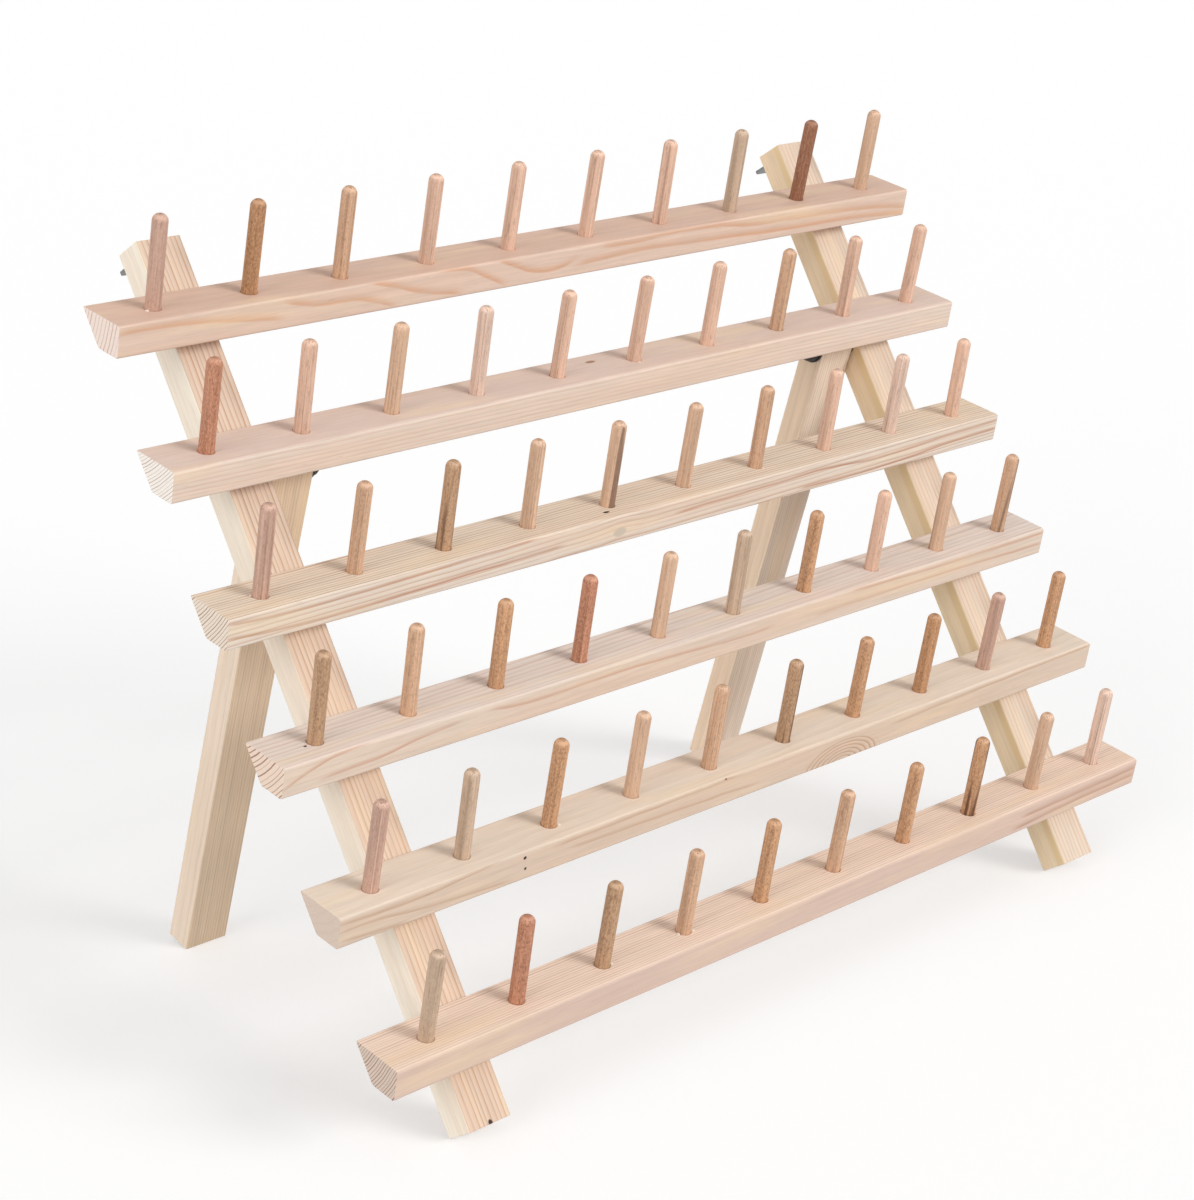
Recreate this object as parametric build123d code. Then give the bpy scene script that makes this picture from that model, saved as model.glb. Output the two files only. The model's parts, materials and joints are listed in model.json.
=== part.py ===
from build123d import *
import math
import os

# Thread rack: two leaning rails carry six rows of pegs, and two hinged legs hold it up.
# Sizes are in millimetres and angles in degrees.
# Every piece is made with the rack lying flat on the backs of its rails. There X runs along
# the bars, Y up the rails from their feet, and Z out from the rails' back faces.
# At the end the rack is stood up at its lean, with its footprint centred on the origin.

# How the rack stands
lean_from_vertical = 33.0
leg_opening = 48.6

# Rails
rail_width = 19.8
rail_thickness = 13.5
rail_length = 342.0
rail_inset = 41.5
rail_edge_radius = 0.9

# Bars: the section is a trapezoid, bevelled at the back to sit on the leaning rails
bar_count = 6
bar_length = 430.0
bar_top_depth = 22.8
bar_front_height = 12.4
lowest_bar_height = 28.8
top_bar_drop = 37.2
bar_edge_radius = 1.1

# Pegs: round-nosed dowels glued into blind holes, leaning forward when the rack stands
peg_count = 10
peg_lean_from_vertical = 9.0
peg_diameter = 6.0
peg_height = 36.3
peg_from_front = 10.3
peg_sunk = 8.6
peg_hole_spare = 0.6
peg_end_chamfer = 0.6
peg_glue_gap = 0.05

# Legs
leg_width = 20.0
leg_thickness = 12.0
leg_edge_radius = 0.9
leg_nose_radius = 4.0
leg_stop_gap = 0.1
leg_fold_gap = 0.75

# Pivot screws, one through each leg into its rail, with washers
pivot_shank_diameter = 6.0
pivot_bite = 15.0
pivot_tip_length = 3.0
pivot_head_diameter = 11.0
pivot_head_height = 3.6
pivot_head_radius = 2.2
pivot_socket_width = 4.0
pivot_socket_depth = 2.0
pivot_washer_diameter = 12.4
pivot_washer_thickness = 1.0
spacer_diameter = 12.4
spacer_thickness = 1.0
washer_hole_gap = 0.2
pivot_running_gap = 0.05
pivot_side_play = 0.1

# Screws that hold the bars, driven from the backs of the rails
bar_screw_rise_share = 0.4
bar_screw_cover = 2.2
bar_screw_shank_diameter = 3.4
bar_screw_head_diameter = 7.0
bar_screw_tip_length = 3.0

# Hanging tabs at the tops of the rails' backs
tab_width = 12.0
tab_strap_length = 18.0
tab_thickness = 1.2
tab_reach = 9.5
tab_below_rail_top = 3.5
tab_bend_radius = 1.0
tab_corner_radius = 2.0
tab_hole_diameter = 4.0
tab_hole_reach_share = 0.56
tab_screw_shares = (0.34, 0.76)
tab_screw_shank_diameter = 3.0
tab_screw_bite = 8.0
tab_screw_tip_length = 2.2
tab_screw_head_diameter = 5.6
tab_screw_head_height = 1.8
tab_screw_head_radius = 1.1

# Cross recess in a screw head, as shares of the head's diameter
recess_width_share = 0.15
recess_span_share = 0.6
recess_depth_share = 0.17

# Gap round every driven screw, and how far a cutting tool runs past a face
screw_fit_gap = 0.03
cut_overrun = 1.0

sides = {"left": -1, "right": 1}
quarter_turn = 90
socket_sides = 6


def sine(angle):
    return math.sin(math.radians(angle))


def cosine(angle):
    return math.cos(math.radians(angle))


def tangent(angle):
    return math.tan(math.radians(angle))


# Sizes that follow from the driving ones
rail_spacing = bar_length - 2 * rail_inset
bar_pitch = (rail_length - lowest_bar_height - top_bar_drop) / (bar_count - 1)
peg_pitch = bar_length / peg_count
bar_bevel = lean_from_vertical + peg_lean_from_vertical
bar_back_height = bar_front_height / cosine(bar_bevel)
bar_screw_rise = bar_screw_rise_share * bar_back_height
bar_screw_bite = (bar_back_height - bar_screw_rise) / tangent(bar_bevel) - bar_screw_cover

# Places that several pieces share. The pivots are level with the second bar's lower back edge.
rail_offset = rail_spacing / 2
pivot_along = rail_length - top_bar_drop - bar_pitch
pivot_out = rail_thickness - leg_fold_gap - leg_thickness / 2
leg_from_vertical = leg_opening - lean_from_vertical
leg_outer_offset = rail_offset - rail_width / 2 - spacer_thickness - pivot_side_play
leg_offset = leg_outer_offset - leg_width / 2
pivot_head_offset = leg_outer_offset - leg_width - pivot_side_play - pivot_washer_thickness
pivot_height = pivot_along * cosine(lean_from_vertical) + pivot_out * sine(lean_from_vertical)
foot_drop = leg_thickness / 2 * sine(leg_from_vertical)
leg_reach = (pivot_height - foot_drop) / cosine(leg_from_vertical)


def bar_along(number):
    """Distance up the rail to the lower back edge of a bar. Bar 1 is the top one."""
    return lowest_bar_height + (bar_count - number) * bar_pitch


def section_face(points):
    """Closed face from (x, y) points."""
    return make_face(Polyline(*points, close=True))


def turned(profile):
    """Solid of revolution about Z from (radius, height) points."""
    return revolve(Plane.XZ * section_face(profile), Axis.Z)


def disc(diameter, height):
    """Round disc that stands on Z = 0."""
    return Cylinder(diameter / 2, height, align=(Align.CENTER, Align.CENTER, Align.MIN))


def pointed_shank(diameter, length, tip_length, gap=0):
    """Round shank along +Z from Z = 0, with a conical tip. With a gap, the hole for it."""
    radius = diameter / 2 + gap
    tip = length + gap
    return turned([(0, 0), (radius, 0), (radius, tip - tip_length), (0, tip)])


def cross_recess(head_diameter):
    """Cutter for the cross in a screw head whose outer face is on Z = 0, with the head above."""
    span = recess_span_share * head_diameter
    width = recess_width_share * head_diameter
    depth = recess_depth_share * head_diameter
    blade = Box(span, width, depth + cut_overrun, align=(Align.CENTER, Align.CENTER, Align.MAX))
    return Pos(0, 0, depth) * (blade + Rot(0, 0, quarter_turn) * blade)


def domed_head(diameter, height, radius):
    """Pan head with a rounded rim, under Z = 0."""
    head = Pos(0, 0, -height) * disc(diameter, height)
    return fillet(head.edges().sort_by(Axis.Z)[0], radius)


def washer(outer_diameter, hole_diameter, thickness):
    """Flat washer that stands on Z = 0."""
    return disc(outer_diameter, thickness) - disc(hole_diameter, thickness)


def strip(width, length, thickness, edge_radius):
    """Planed strip along +Y, centred on X = 0 and lying on Z = 0, with eased long edges."""
    blank = Box(width, length, thickness, align=(Align.CENTER, Align.MIN, Align.MIN))
    return fillet(blank.edges().filter_by(Axis.Y), edge_radius)


def bar_screw_place(side, number):
    """Where a bar's screw enters the back of a rail."""
    return Pos(side * rail_offset, bar_along(number) + bar_screw_rise, 0)


def countersunk_shape(gap=0):
    """Bar screw along +Z with its flat head level with Z = 0. With a gap, the hole for it."""
    head = bar_screw_head_diameter / 2 + gap
    shank = bar_screw_shank_diameter / 2 + gap
    tip = rail_thickness + bar_screw_bite + gap
    shoulder = tip - bar_screw_tip_length
    return turned([(0, 0), (head, 0), (shank, head - shank), (shank, shoulder), (0, tip)])


def bar_screws():
    screw = countersunk_shape() - cross_recess(bar_screw_head_diameter)
    numbers = range(1, bar_count + 1)
    return [bar_screw_place(side, number) * screw for side in sides.values() for number in numbers]


def peg_places(number):
    """Planes on a bar's top face, one for each peg, with the peg along their Z."""
    back_to_peg = bar_top_depth - peg_from_front
    along = bar_along(number) + bar_back_height - back_to_peg * sine(bar_bevel)
    out = rail_thickness + back_to_peg * cosine(bar_bevel)
    upright = (0, cosine(bar_bevel), sine(bar_bevel))
    first = -(peg_count - 1) / 2 * peg_pitch
    return [
        Plane(origin=(first + column * peg_pitch, along, out), x_dir=(1, 0, 0), z_dir=upright)
        for column in range(peg_count)
    ]


def peg():
    """Dowel along Z with a round nose. It leaves the bar at Z = 0."""
    radius = peg_diameter / 2
    shoulder = peg_height - radius
    outline = Polyline(
        (0, peg_height),
        (0, -peg_sunk),
        (radius - peg_end_chamfer, -peg_sunk),
        (radius, peg_end_chamfer - peg_sunk),
        (radius, shoulder),
    )
    nose = CenterArc((0, shoulder), radius, 0, quarter_turn)
    return revolve(Plane.XZ * make_face(outline + nose), Axis.Z)


def peg_row(number):
    dowel = peg()
    return [place * dowel for place in peg_places(number)]


def bar(number):
    """Bar with a bevelled back that seats on the rails, and a blind hole for each peg."""
    across = (-sine(bar_bevel), cosine(bar_bevel))
    bottom_depth = bar_top_depth - bar_back_height * sine(bar_bevel)
    section = section_face(
        [
            (0, 0),
            (bar_back_height, 0),
            (bar_back_height + bar_top_depth * across[0], bar_top_depth * across[1]),
            (bottom_depth * across[0], bottom_depth * across[1]),
        ]
    )
    blank = extrude(Plane.YZ * section, bar_length / 2, both=True)
    blank = fillet(blank.edges().filter_by(Axis.X), bar_edge_radius)
    blank = Pos(0, bar_along(number), rail_thickness) * blank
    hole_depth = peg_sunk + peg_hole_spare
    hole = Pos(0, 0, -hole_depth) * disc(peg_diameter + 2 * peg_glue_gap, hole_depth + cut_overrun)
    cuts = [place * hole for place in peg_places(number)]
    cuts += [bar_screw_place(side, number) * countersunk_shape(screw_fit_gap) for side in sides.values()]
    return blank - cuts


def pivot_place(side, offset):
    """Plane across the legs' pivot axis, with its Z pointing out of the rack's side."""
    return Plane(origin=(side * offset, pivot_along, pivot_out), x_dir=(0, side, 0), z_dir=(side, 0, 0))


def pivot_shank(gap=0):
    """Shank of the pivot screw, from under its head to its tip in the rail."""
    to_rail = rail_offset - rail_width / 2 - pivot_head_offset
    return pointed_shank(pivot_shank_diameter, to_rail + pivot_bite, pivot_tip_length, gap)


def pivot_screw(side):
    head = domed_head(pivot_head_diameter, pivot_head_height, pivot_head_radius)
    socket = RegularPolygon(pivot_socket_width / 2, socket_sides, major_radius=False)
    socket = Pos(0, 0, -pivot_head_height) * extrude(socket, pivot_socket_depth)
    return pivot_place(side, pivot_head_offset) * (head + pivot_shank() - socket)


def pivot_washer(side):
    hole = pivot_shank_diameter + 2 * washer_hole_gap
    blank = washer(pivot_washer_diameter, hole, pivot_washer_thickness)
    return pivot_place(side, pivot_head_offset) * blank


def spacer_washer(side):
    """Washer that keeps the leg off the rail."""
    hole = pivot_shank_diameter + 2 * washer_hole_gap
    blank = washer(spacer_diameter, hole, spacer_thickness)
    return pivot_place(side, leg_outer_offset + pivot_side_play) * blank


def leg(side):
    """Leg in its open place, its top cut to bear flat against the back of the second bar."""
    half = leg_thickness / 2
    stop = rail_thickness - pivot_out - leg_stop_gap
    front_top = (stop - half * cosine(leg_opening)) / sine(leg_opening)
    back_top = (stop + half * cosine(leg_opening)) / sine(leg_opening)
    outline = section_face([(-leg_reach, -half), (-leg_reach, half), (front_top, half), (back_top, -half)])
    nose = outline.vertices().sort_by_distance((front_top, half))[0]
    outline = fillet(nose, leg_nose_radius)
    blank = extrude(Plane.YZ * outline, leg_width / 2, both=True)
    long_edges = [edge for edge in blank.edges().filter_by(Axis.Y) if edge.length > leg_thickness]
    blank = fillet(long_edges, leg_edge_radius)
    bore = Cylinder(pivot_shank_diameter / 2 + pivot_running_gap, leg_width, rotation=(0, quarter_turn, 0))
    return Pos(side * leg_offset, pivot_along, pivot_out) * Rot(leg_opening, 0, 0) * (blank - bore)


def tab_screw_places(side):
    """Where the screws of a hanging tab pass through its strap, with their Z into the rail."""
    top = rail_length - tab_below_rail_top
    return [
        Pos(side * rail_offset, top - tab_strap_length * share, -tab_thickness)
        for share in tab_screw_shares
    ]


def tab_screw_shank(gap=0):
    length = tab_thickness + tab_screw_bite
    return pointed_shank(tab_screw_shank_diameter, length, tab_screw_tip_length, gap)


def tab_screws():
    head = domed_head(tab_screw_head_diameter, tab_screw_head_height, tab_screw_head_radius)
    recess = Pos(0, 0, -tab_screw_head_height) * cross_recess(tab_screw_head_diameter)
    screw = head + tab_screw_shank() - recess
    return [place * screw for side in sides.values() for place in tab_screw_places(side)]


def hanging_tab(side):
    """Steel tab on a rail's back. Its strap is screwed flat, and its bent end has a hole."""
    top = rail_length - tab_below_rail_top
    section = section_face(
        [
            (top - tab_strap_length, 0),
            (top, 0),
            (top, -tab_reach),
            (top - tab_thickness, -tab_reach),
            (top - tab_thickness, -tab_thickness),
            (top - tab_strap_length, -tab_thickness),
        ]
    )
    outer_bend = section.vertices().sort_by_distance((top, 0))[0]
    section = fillet(outer_bend, tab_bend_radius + tab_thickness)
    inner_bend = section.vertices().sort_by_distance((top - tab_thickness, -tab_thickness))[0]
    section = fillet(inner_bend, tab_bend_radius)
    blank = extrude(Plane.YZ * section, tab_width / 2, both=True)
    strap_end = blank.faces().sort_by(Axis.Y)[0]
    lip_end = blank.faces().sort_by(Axis.Z)[0]
    corners = strap_end.edges().filter_by(Axis.Z) + lip_end.edges().filter_by(Axis.Y)
    blank = Pos(side * rail_offset, 0, 0) * fillet(corners, tab_corner_radius)
    for place in tab_screw_places(side):
        blank -= place * tab_screw_shank(screw_fit_gap)
    hole = Cylinder(tab_hole_diameter / 2, tab_thickness + 2 * cut_overrun, rotation=(quarter_turn, 0, 0))
    return blank - Pos(side * rail_offset, top - tab_thickness / 2, -tab_reach * tab_hole_reach_share) * hole


def rail(side):
    """Rail lying on its back, square cut at both ends, with the holes of all its screws."""
    blank = strip(rail_width, rail_length, rail_thickness, rail_edge_radius)
    cuts = [
        bar_screw_place(side, number) * countersunk_shape(screw_fit_gap)
        for number in range(1, bar_count + 1)
    ]
    cuts += [place * tab_screw_shank(screw_fit_gap) for place in tab_screw_places(side)]
    cuts.append(pivot_place(side, pivot_head_offset) * pivot_shank(screw_fit_gap))
    return Pos(side * rail_offset, 0, 0) * blank - cuts


def lying_rack():
    """Every node of the rack by name, each as a list of solids, in the lying frame."""
    nodes = {}
    for name, side in sides.items():
        nodes[f"rail_{name}"] = [rail(side)]
        nodes[f"leg_{name}"] = [leg(side)]
        nodes[f"pivot_screw_{name}"] = [pivot_screw(side)]
        nodes[f"pivot_washer_{name}"] = [pivot_washer(side)]
        nodes[f"spacer_washer_{name}"] = [spacer_washer(side)]
        nodes[f"hanging_tab_{name}"] = [hanging_tab(side)]
    for number in range(1, bar_count + 1):
        nodes[f"bar_{number}"] = [bar(number)]
        nodes[f"pegs_row_{number}"] = peg_row(number)
    nodes["bar_screws"] = bar_screws()
    nodes["tab_screws"] = tab_screws()
    return nodes


def standing(nodes):
    """The nodes stood up at the rack's lean, with the footprint centred on the origin."""
    upright = Rot(quarter_turn - lean_from_vertical, 0, 0)
    stood = {}
    for name, pieces in nodes.items():
        stood[name] = Compound([solid for piece in pieces for solid in (upright * piece).solids()])
    box = Compound(list(stood.values())).bounding_box()
    centre = Pos(0, -(box.min.Y + box.max.Y) / 2, 0)
    return {name: centre * node for name, node in stood.items()}


def main():
    os.makedirs("parts", exist_ok=True)
    for name, node in standing(lying_rack()).items():
        export_step(node, f"parts/{name}.step")
        print(name, "solids", len(node.solids()))


main()
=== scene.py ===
import json
import math
import random
from dataclasses import dataclass

import bmesh
import bpy
from mathutils import Matrix, Vector


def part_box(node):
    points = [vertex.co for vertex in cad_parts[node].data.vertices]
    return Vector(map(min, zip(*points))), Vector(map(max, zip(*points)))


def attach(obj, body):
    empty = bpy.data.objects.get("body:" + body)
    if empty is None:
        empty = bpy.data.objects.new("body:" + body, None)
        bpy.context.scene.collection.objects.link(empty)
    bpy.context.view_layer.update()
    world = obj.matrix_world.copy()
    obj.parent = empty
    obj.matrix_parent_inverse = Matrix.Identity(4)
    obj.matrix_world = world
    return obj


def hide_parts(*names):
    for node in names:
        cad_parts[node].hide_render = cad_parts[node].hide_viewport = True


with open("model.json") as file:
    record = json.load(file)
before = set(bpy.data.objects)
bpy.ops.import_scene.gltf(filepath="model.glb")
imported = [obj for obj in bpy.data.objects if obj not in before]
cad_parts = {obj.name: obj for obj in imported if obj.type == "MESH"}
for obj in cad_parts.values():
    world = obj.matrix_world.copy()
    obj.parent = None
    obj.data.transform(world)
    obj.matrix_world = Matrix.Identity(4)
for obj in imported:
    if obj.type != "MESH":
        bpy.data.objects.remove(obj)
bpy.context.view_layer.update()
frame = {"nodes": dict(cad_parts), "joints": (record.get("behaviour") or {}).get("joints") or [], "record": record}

# Thread rack of planed pine with hardwood pegs. Everything is in metres.
mm = 0.001
half = 0.5
quarter_turn = math.pi / 2
full_turn = 2 * math.pi

behaviour = frame["record"]["behaviour"]
bodies = {node: body for body, members in behaviour["bodies"].items() for node in members}
mounts = {mount["name"]: mount for mount in frame["record"]["mounts"]}
joints = {joint["name"]: joint for joint in frame["joints"]}
sides = ("left", "right")
side_axis = Vector((1, 0, 0))


def mount_place(name):
    return Vector(mounts[name]["pos_m"])


def mount_axis(name):
    return Vector(mounts[name]["axis"]).normalized()


# Directions that the frame gives: up the rails, out of their fronts, up the pegs, down a leg
rail_up = -mount_axis("rail_foot_left")
rail_out = Vector((0, -rail_up.z, rail_up.y))
peg_up = mount_axis("spool_pegs_row_1")
bar_forward = Vector((0, -peg_up.z, peg_up.y))
leg_down = mount_axis("leg_foot_left")
leg_front = Vector((0, leg_down.z, -leg_down.y))

# Bars
bar_numbers = range(1, 7)
bar_top_depth = 22.8 * mm
bar_front_height = 12.4 * mm
bar_edge_radius = 1.1 * mm
peg_from_front = 10.3 * mm

# Rails and legs
rail_length = 342 * mm
rail_thickness = 13.5 * mm
rail_edge_radius = 0.9 * mm
leg_thickness = 12 * mm
leg_edge_radius = 0.9 * mm
leg_nose_radius = 4 * mm
leg_stop_gap = 0.1 * mm
leg_fold_gap = 0.75 * mm
sawn_edge = 0.3 * mm
edge_segments = 4
sawn_segments = 2

# Pegs. Tilts are in degrees. The flat at a tip and the least height of a dome are shares of the
# peg's radius
peg_count = 10
peg_radius = 3 * mm
peg_height = 36.3 * mm
peg_sunk = 8.6 * mm
peg_foot_chamfer = 0.6 * mm
peg_hole_depth = 9.2 * mm
peg_hole_gap = 0.05 * mm
peg_hole_chamfer = 0.3 * mm
peg_sides = 32
peg_body_steps = 4
peg_dome_steps = 8
peg_tip = 0.05
peg_trim = 0.9
peg_tilt = 0.8
peg_forward_tilt = {1: 1.5, 2: 0.8, 3: 0.3, 4: 0.2, 5: 0.8, 6: 0.4}
random_seed = 60

# Screw holes
screw_gap = 0.03 * mm
bar_screw_head_radius = 3.5 * mm
bar_screw_shank_radius = 1.7 * mm
bar_screw_rise_share = 0.4
tab_screw_radius = 1.5 * mm
tab_screw_bite = 8 * mm
tab_drop = 3.5 * mm
tab_strap_length = 18 * mm
tab_screw_shares = (0.34, 0.76)
pivot_radius = 3 * mm
pivot_gap = 0.05 * mm
pivot_bite = 15 * mm
overrun = 1 * mm
hole_sides = 32

# An edge within this reach of a corner is the corner's own
close_by = 1 * mm

# Angles in degrees that tell a mesh's edges apart
same_way_angle = 1
corner_angle = 30
end_angle = 60
wood_crease = 35
peg_crease = 50


def add_object(name, data):
    added = bpy.data.objects.new(name, data)
    bpy.context.scene.collection.objects.link(added)
    return added


def shape_object(name, shape):
    """An object with a bmesh's form. The bmesh is freed."""
    mesh = bpy.data.meshes.new(name)
    shape.to_mesh(mesh)
    shape.free()
    return add_object(name, mesh)


def smooth(mesh, crease):
    """Smooth shading, sharp where faces meet at more than the crease in degrees."""
    mesh.shade_smooth()
    mesh.set_sharp_from_angle(angle=math.radians(crease))


def apply_modifiers(piece):
    graph = bpy.context.evaluated_depsgraph_get()
    done = bpy.data.meshes.new_from_object(piece.evaluated_get(graph))
    piece.modifiers.clear()
    spare = piece.data
    piece.data = done
    bpy.data.meshes.remove(spare)


def flatten_normals(piece):
    """Weighted normals, so that eased edges blend and broad faces don't shade."""
    modifier = piece.modifiers.new("normals", "WEIGHTED_NORMAL")
    modifier.keep_sharp = True
    apply_modifiers(piece)


def runs_along(edge, direction):
    line = (edge.verts[1].co - edge.verts[0].co).normalized()
    return abs(line.dot(direction)) > math.cos(math.radians(same_way_angle))


def is_corner(edge):
    return len(edge.link_faces) == 2 and edge.calc_face_angle() > math.radians(corner_angle)


def bevel(shape, edges, radius, segments):
    bmesh.ops.bevel(
        shape, geom=edges, offset=radius, offset_type="OFFSET",
        segments=segments, profile=half, affect="EDGES",
    )


def prism(outline, low_x, high_x):
    """Solid from an outline of points in the YZ plane, run from low_x to high_x."""
    shape = bmesh.new()
    loop = [shape.verts.new((low_x, point.y, point.z)) for point in outline]
    face = shape.faces.new(loop)
    grown = bmesh.ops.extrude_face_region(shape, geom=[face])
    moved = [item for item in grown["geom"] if isinstance(item, bmesh.types.BMVert)]
    bmesh.ops.translate(shape, verts=moved, vec=(high_x - low_x, 0, 0))
    bmesh.ops.recalc_face_normals(shape, faces=shape.faces)
    return shape


def planed_piece(name, shape, along, radius):
    """Eases the planed edges that run along a direction, then the sawn ends."""
    planed = [edge for edge in shape.edges if is_corner(edge) and runs_along(edge, along)]
    bevel(shape, planed, radius, edge_segments)
    ends = []
    end_facing = math.cos(math.radians(end_angle))
    for edge in filter(is_corner, shape.edges):
        facing = [abs(face.normal.dot(along)) for face in edge.link_faces]
        if max(facing) > end_facing > min(facing):
            ends.append(edge)
    bevel(shape, ends, sawn_edge, sawn_segments)
    return shape_object(name, shape)


def ring_points(centre, axis, radius, count):
    """Points of a circle about an axis."""
    first = axis.orthogonal().normalized()
    second = axis.cross(first)
    angles = [full_turn * index / count for index in range(count)]
    return [
        centre + radius * (math.cos(angle) * first + math.sin(angle) * second) for angle in angles
    ]


def add_lathe(shape, centre, axis, profile, count):
    """Adds a closed turned form with (radius, height) rings, capped at both ends."""
    rings = []
    for radius, height in profile:
        points = ring_points(centre + axis * height, axis, radius, count)
        rings.append([shape.verts.new(point) for point in points])
    for lower, upper in zip(rings, rings[1:]):
        for index in range(count):
            after = (index + 1) % count
            shape.faces.new((lower[index], lower[after], upper[after], upper[index]))
    shape.faces.new(reversed(rings[0]))
    shape.faces.new(rings[-1])
    return rings


def cut(piece, cutters):
    """Takes turned forms, each (centre, axis, profile), out of a piece."""
    shape = bmesh.new()
    for centre, axis, profile in cutters:
        add_lathe(shape, centre, axis, profile, hole_sides)
    bmesh.ops.recalc_face_normals(shape, faces=shape.faces)
    tool = shape_object("cutter", shape)
    modifier = piece.modifiers.new("holes", "BOOLEAN")
    modifier.operation = "DIFFERENCE"
    modifier.solver = "EXACT"
    modifier.object = tool
    bpy.context.view_layer.update()
    apply_modifiers(piece)
    mesh = tool.data
    bpy.data.objects.remove(tool)
    bpy.data.meshes.remove(mesh)


def finish_wood(piece, node, material):
    smooth(piece.data, wood_crease)
    flatten_normals(piece)
    piece.data.materials.clear()
    piece.data.materials.append(material)
    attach(piece, bodies[node])
    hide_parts(node)


# Node building. The mix node's colour sockets share their names, so they are told by number
mix_first = 6
mix_second = 7
mix_result = 2


class Graph:
    """Short calls that build a material's nodes."""

    def __init__(self, name):
        self.material = bpy.data.materials.new(name)
        self.material.use_nodes = True
        self.tree = self.material.node_tree
        self.shader = self.tree.nodes["Principled BSDF"]

    def feed(self, value, socket):
        if isinstance(value, bpy.types.NodeSocket):
            self.tree.links.new(value, socket)
        else:
            socket.default_value = value

    def node(self, kind, inputs=(), **settings):
        made = self.tree.nodes.new(kind)
        for key, value in settings.items():
            setattr(made, key, value)
        for socket, value in dict(inputs).items():
            self.feed(value, made.inputs[socket])
        return made

    def math(self, operation, first, second=0.0, third=0.0):
        made = self.node("ShaderNodeMath", operation=operation)
        for socket, value in zip(made.inputs, (first, second, third)):
            self.feed(value, socket)
        return made.outputs[0]

    def product(self, first, *others):
        for other in others:
            first = self.math("MULTIPLY", first, other)
        return first

    def spread(self, value, reach, least):
        """The least, plus the value times the reach."""
        return self.math("MULTIPLY_ADD", value, reach, least)

    def vector(self, operation, first, second):
        made = self.node("ShaderNodeVectorMath", operation=operation)
        self.feed(first, made.inputs[0])
        self.feed(second, made.inputs[1])
        return made.outputs["Value" if operation == "DOT_PRODUCT" else "Vector"]

    def join(self, x, y, z):
        return self.node("ShaderNodeCombineXYZ", {"X": x, "Y": y, "Z": z}).outputs[0]

    def split(self, vector):
        return self.node("ShaderNodeSeparateXYZ", {"Vector": vector}).outputs

    def noise(self, place, scales, detail=2.0, roughness=half, seed=0.0):
        scaled = self.vector("MULTIPLY", place, scales)
        made = self.node(
            "ShaderNodeTexNoise",
            {"Vector": scaled, "W": seed, "Scale": 1.0, "Detail": detail, "Roughness": roughness},
            noise_dimensions="4D",
        )
        return made.outputs["Fac"]

    def ramp(self, value, low, high, to_low=0.0, to_high=1.0):
        """Smooth step from low to high."""
        steps = {"From Min": low, "From Max": high, "To Min": to_low, "To Max": to_high}
        made = self.node(
            "ShaderNodeMapRange", {"Value": value, **steps}, interpolation_type="SMOOTHSTEP",
        )
        return made.outputs["Result"]

    def mix(self, share, first, second):
        made = self.node("ShaderNodeMix", data_type="RGBA")
        self.feed(share, made.inputs["Factor"])
        self.feed(first, made.inputs[mix_first])
        self.feed(second, made.inputs[mix_second])
        return made.outputs[mix_result]

    def shade(self, colour, amount):
        """Multiplies a colour by a number."""
        return self.vector("MULTIPLY", colour, self.join(amount, amount, amount))

    def surface(self, inputs):
        """Feeds the shader, and gives the finished material."""
        for socket, value in inputs.items():
            self.feed(value, self.shader.inputs[socket])
        return self.material

    def bump(self, height, depth, strength):
        inputs = {"Height": height, "Distance": depth, "Strength": strength}
        return self.node("ShaderNodeBump", inputs).outputs["Normal"]


def tone(red, green, blue):
    """Linear colour from an 8-bit screen colour, by the sRGB formula."""
    channels = []
    for value in (red, green, blue):
        share = value / 255
        channels.append(share / 12.92 if share <= 0.04045 else ((share + 0.055) / 1.055) ** 2.4)
    return (*channels, 1.0)


# Pine
cream = tone(236, 214, 192)
near_white = tone(244, 230, 216)
tan_line = tone(204, 164, 128)
orange_line = tone(208, 154, 114)
brown_line = tone(178, 130, 92)
mauve_line = tone(196, 160, 140)
grey_line = tone(184, 152, 124)
knot_brown = tone(132, 88, 56)
speck_black = tone(52, 34, 24)
ruddy = tone(222, 184, 156)
honey = tone(238, 212, 174)

# Noise waves per metre, along, across and up a board
long_wave = (9.0, 34.0, 34.0)
short_wave = (45.0, 190.0, 190.0)
tone_wave = (5.0, 60.0, 60.0)
honey_wave = (11.0, 95.0, 95.0)
streak_grain = (18.0, 420.0, 420.0)
fibre_grain = (60.0, 1500.0, 1500.0)
canal_grain = (110.0, 2600.0, 2600.0)
pore_grain = (2400.0, 2400.0, 2400.0)
quiver_wave = (40.0, 0.0, 0.0)
fine_roughness = 0.6

# Growth rings: noise waves per ring, how many rings the noise moves them, and their latewood
ring_wave = (0.45, 0.45, 0.45)
ring_uneven = 1.1
ring_quick = 0.3
late_end = 0.93
late_gain = 2.0
warm_share = 0.18

# Lines drawn on a front, down to vein_reach below its top edge. A vein glows upward for vein_glow
# of its widths
vein_quiver = 1.2 * mm
vein_reach = 14 * mm
vein_fade = 5 * mm
vein_glow = 6.0
vein_falloff = 3.0
arch_thin = 3.0
arch_outside = (1.05, 0.85)
arch_inside = (0.05, 0.2)

# Steps: from where to where, and what they give there if it isn't 0 and 1
sawn_step = (0.7, 0.9)
side_step = (0.45, 0.85)
vein_break = (0.3, 0.6, 0.6, 1.0)
ruddy_patch = (0.4, 0.75, 0.0, 0.3)
honey_patch = (0.5, 0.75, 0.0, 0.4)
canal_shade = (0.64, 0.78, 1.0, 0.82)
end_line_step = (0.12, 0.4)
mark_edge = (0.3, 1.2, 1.0, 0.0)

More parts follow.
